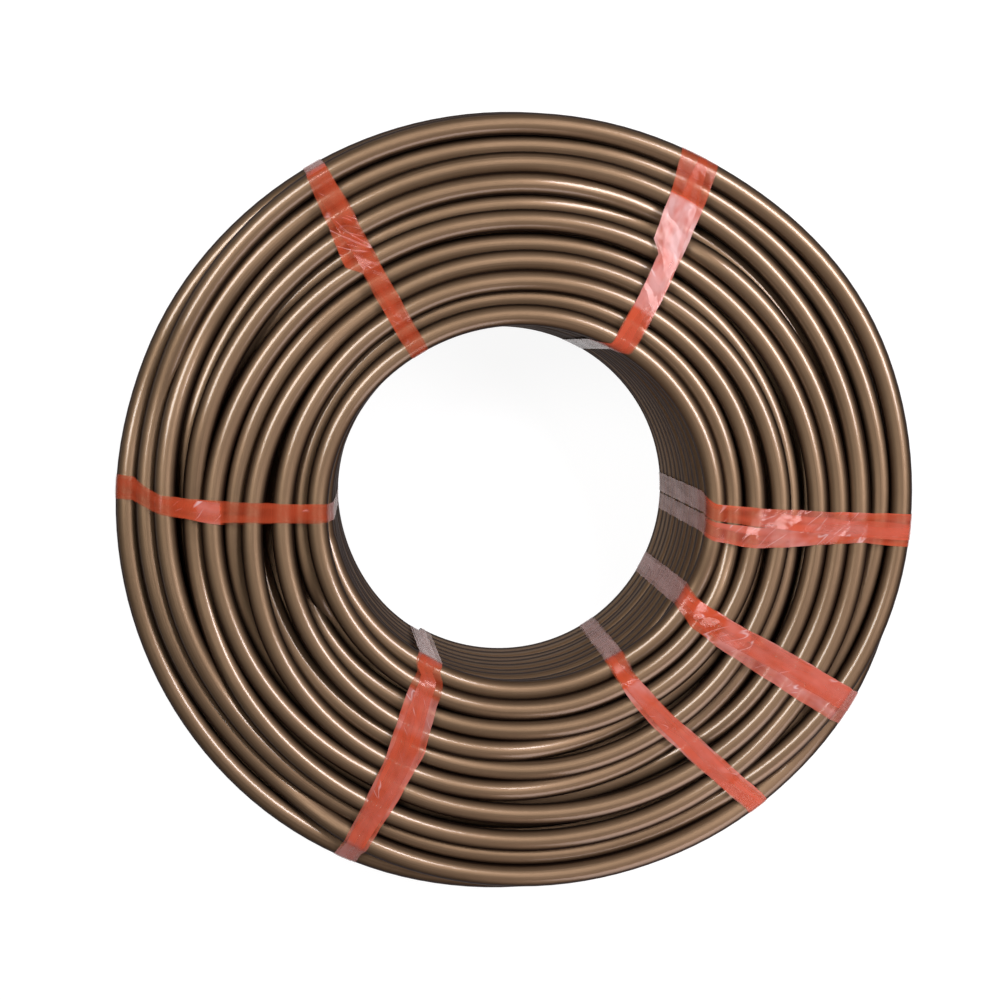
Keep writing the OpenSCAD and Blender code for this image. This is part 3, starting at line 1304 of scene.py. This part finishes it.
@dataclass(frozen=True)
class FilmFinish:
    """Orange stretch film, clear enough to see the pipe through, and pale where it is stretched: partly real
    haze and partly painted glare and reflection of the lamps.
    """

    name: str = "orange_film"
    clear: Colour = (0.60, 0.084, 0.032, 1.0)
    # Pale pink of the film's patches, partly real stretched haze and partly painted glare and reflection of
    # the lamps.
    haze_and_glare: Colour = (0.70, 0.44, 0.43, 1.0)
    roughness: float = 0.16
    specular: float = 0.35
    tint: Colour = (1.0, 0.8, 0.77, 1.0)
    slant: float = 0.75
    thin_alpha: float = 0.38
    thick_alpha: float = 0.68
    haze_and_glare_alpha: float = 0.82
    thin_share: float = 0.12
    grazing_from: float = 0.4
    grazing_to: float = 0.85
    grazing_share: float = 0.65
    facet_tilt: float = 0.95
    line_height: float = 0.5
    bump_strength: float = 0.6
    bump_height: float = 0.0006

    def build(self) -> bpy.types.Material:
        """Builds the finish.

        Returns:
            The material.
        """
        material, desk, shader = new_material(self.name)
        weft = desk.add("Attribute", attribute_name="weft").outputs["Vector"]
        look = desk.add("Attribute", attribute_name="look").outputs["Vector"]
        geometry = desk.add("NewGeometry").outputs
        parts = desk.add("SeparateXYZ", {0: look}).outputs
        haze_and_glare_level, creasing = parts["X"], parts["Y"]
        seed = desk.add("CombineXYZ", {2: parts["Z"]}).outputs[0]
        place = desk.vector("ADD", desk.vector("MULTIPLY", weft, (1.0, 1.0, 0.0)), seed)
        lines = Group.CREASE_LINES.place(desk, Vector=place, Slant=self.slant, Amount=creasing)
        cloud = Group.STRETCHED_NOISE.place(
            desk, Vector=place, Stretch=(70.0, 35.0, 1.0), Detail=2.0, Low=0.25, High=0.62
        )
        # Painted glare: the base colour turns pale in noise patches and along the crease lines, partly real
        # haze and partly painted glare and glints of the lamps.
        pale = desk.maths("ADD", desk.maths("MULTIPLY", haze_and_glare_level, cloud, clamp=True), lines, clamp=True)
        desk.feed(shader, "Base Color", desk.blend(pale, self.clear, self.haze_and_glare))
        folds = Group.STRETCHED_NOISE.place(
            desk, Vector=place, Stretch=(110.0, 14.0, 1.0), Detail=1.0, Low=0.35, High=0.65
        )
        clear = desk.span(folds, 0.0, 1.0, self.thin_alpha, self.thick_alpha)
        clear = desk.maths("MULTIPLY", clear, desk.span(haze_and_glare_level, 0.0, -1.0, 1.0, self.thin_share))
        alpha = desk.span(pale, 0.0, 1.0, clear, self.haze_and_glare_alpha)
        facing = desk.add("LayerWeight", {"Blend": 0.5}).outputs["Facing"]
        share = desk.span(facing, self.grazing_from, self.grazing_to, 1.0, self.grazing_share)
        outer_skin = desk.maths("SUBTRACT", 1.0, geometry["Backfacing"])
        desk.feed(shader, "Alpha", desk.maths("MULTIPLY", desk.maths("MULTIPLY", alpha, share), outer_skin))
        swell = Group.STRETCHED_NOISE.place(
            desk, Vector=place, Stretch=(120.0, 60.0, 1.0), Detail=1.0, Low=0.2, High=0.8
        )
        height = desk.maths("MULTIPLY_ADD", lines, self.line_height, swell)
        tilt = desk.maths("MULTIPLY", creasing, self.facet_tilt)
        tilt = Group.FACETS.place(desk, Vector=place, Slant=self.slant, Amount=tilt)
        facet = desk.vector("NORMALIZE", desk.vector("ADD", geometry["Normal"], tilt))
        strength = desk.maths("MULTIPLY", creasing, self.bump_strength)
        bump = desk.add(
            "Bump", {"Strength": strength, "Distance": self.bump_height, "Height": height, "Normal": facet}
        )
        desk.feed(shader, "Normal", bump.outputs["Normal"])
        shader.inputs["Roughness"].default_value = self.roughness
        shader.inputs["Specular IOR Level"].default_value = self.specular
        shader.inputs["Specular Tint"].default_value = self.tint
        return material


@dataclass(frozen=True)
class SoftBox:
    """A soft box turned towards the coil: its place and size in metres, its power in watts and its colour."""

    name: str
    at: tuple[float, float, float]
    size: tuple[float, float]
    power: float
    colour: tuple[float, float, float] = (1.0, 1.0, 1.0)

    def hang(self) -> None:
        """Makes the lamp."""
        data = bpy.data.lights.new(self.name, "AREA")
        data.shape, data.energy, data.color = "RECTANGLE", self.power, self.colour
        data.size, data.size_y = self.size
        lamp = bpy.data.objects.new(self.name, data)
        lamp.location = self.at
        lamp.rotation_euler = Vector(self.at).to_track_quat("Z", "Y").to_euler()
        bpy.context.scene.collection.objects.link(lamp)


@dataclass(frozen=True)
class Studio:
    """A pale floor, three soft boxes and the camera."""

    floor_size: float = 8.0
    floor_grey: Colour = (0.16, 0.16, 0.16, 1.0)
    floor_glow: float = 0.92
    camera_at: tuple[float, float, float] = (-0.1340, 0.1517, 1.5003)
    pitch_angle: float = 6.23
    roll_angle: float = 5.11
    lens: float = 50.0
    sensor: float = 36.0
    ambient: float = 0.02
    lamps: tuple[SoftBox, ...] = (
        SoftBox("left_box", (-0.84, 0.58, 1.72), (0.9, 0.6), 21.5),
        SoftBox("right_box", (0.92, 0.56, 1.68), (1.1, 0.5), 33.0, (0.97, 0.95, 1.0)),
        SoftBox("front_fill", (0.56, -0.93, 0.62), (0.8, 0.8), 6.0, (1.0, 0.9, 0.92)),
    )

    def build(self) -> None:
        """Builds the studio."""
        self._camera()
        self._floor()
        self._world()
        for lamp in self.lamps:
            lamp.hang()

    def _camera(self) -> None:
        """Makes the camera, which looks down on the coil from a little to one side."""
        data = bpy.data.cameras.new("camera")
        data.lens, data.sensor_width = self.lens, self.sensor
        camera = bpy.data.objects.new("camera", data)
        turned = Matrix.Rotation(math.radians(self.pitch_angle), 3, "X")
        turned = turned @ Matrix.Rotation(math.radians(self.roll_angle), 3, "Y")
        camera.matrix_world = Matrix.Translation(self.camera_at) @ turned.transposed().to_4x4()
        bpy.context.scene.collection.objects.link(camera)
        bpy.context.scene.camera = camera

    def _floor(self) -> None:
        """Makes the floor, white to the camera and in reflections, and grey to the rest of the light."""
        bm = bmesh.new()
        bmesh.ops.create_grid(bm, x_segments=1, y_segments=1, size=self.floor_size / 2.0)
        floor = finished(bm, "floor")
        material, desk, shader = new_material("floor")
        desk.tree.nodes.remove(shader)
        rays = desk.add("LightPath").outputs
        seen = desk.maths("ADD", rays["Is Camera Ray"], rays["Is Glossy Ray"])
        seen = desk.maths("ADD", seen, rays["Is Transmission Ray"])
        lit = desk.add("BsdfDiffuse", {"Color": self.floor_grey})
        glow = desk.add("Emission", {"Strength": self.floor_glow})
        shown = desk.add("MixShader", {0: seen, 2: glow.outputs[0]})
        total = desk.add("AddShader", {0: lit.outputs[0], 1: shown.outputs[0]})
        desk.feed(desk.tree.nodes["Material Output"], "Surface", total.outputs[0])
        floor.data.materials.append(material)

    def _world(self) -> None:
        """Makes the faint light from all round."""
        world = bpy.data.worlds.new("world")
        world.use_nodes = True
        world.node_tree.nodes["Background"].inputs["Strength"].default_value = self.ambient
        bpy.context.scene.world = world


def main() -> None:
    """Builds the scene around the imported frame."""
    logging.basicConfig(level=logging.INFO, format="%(name)s: %(message)s")
    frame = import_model()
    bpy.context.scene.view_settings.view_transform = "Standard"
    Studio().build()
    stretched_noise_group(Group.STRETCHED_NOISE.value)
    crease_lines_group(Group.CREASE_LINES.value)
    facets_group(Group.FACETS.value)
    pipe = Pipe()
    coil = PipeCoil(pipe, Winding.from_frame(pipe, "pipe_coil"))
    pipe_finish = PipeFinish().build()
    for piece in coil.build():
        piece.data.materials.append(pipe_finish)
        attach(piece, "root")
        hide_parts("pipe_coil")
        LOG.info("%s: %d faces", piece.name, len(piece.data.polygons))
    film_finish = FilmFinish().build()
    for node, piece in FilmWrap(coil, Film()).build().items():
        piece.data.materials.append(film_finish)
        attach(piece, "root")
        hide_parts(node)
        LOG.info("%s: %d faces", piece.name, len(piece.data.polygons))
    LOG.info("packed nodes: %s", sorted(frame["nodes"]))


if __name__ == "__main__":
    main()
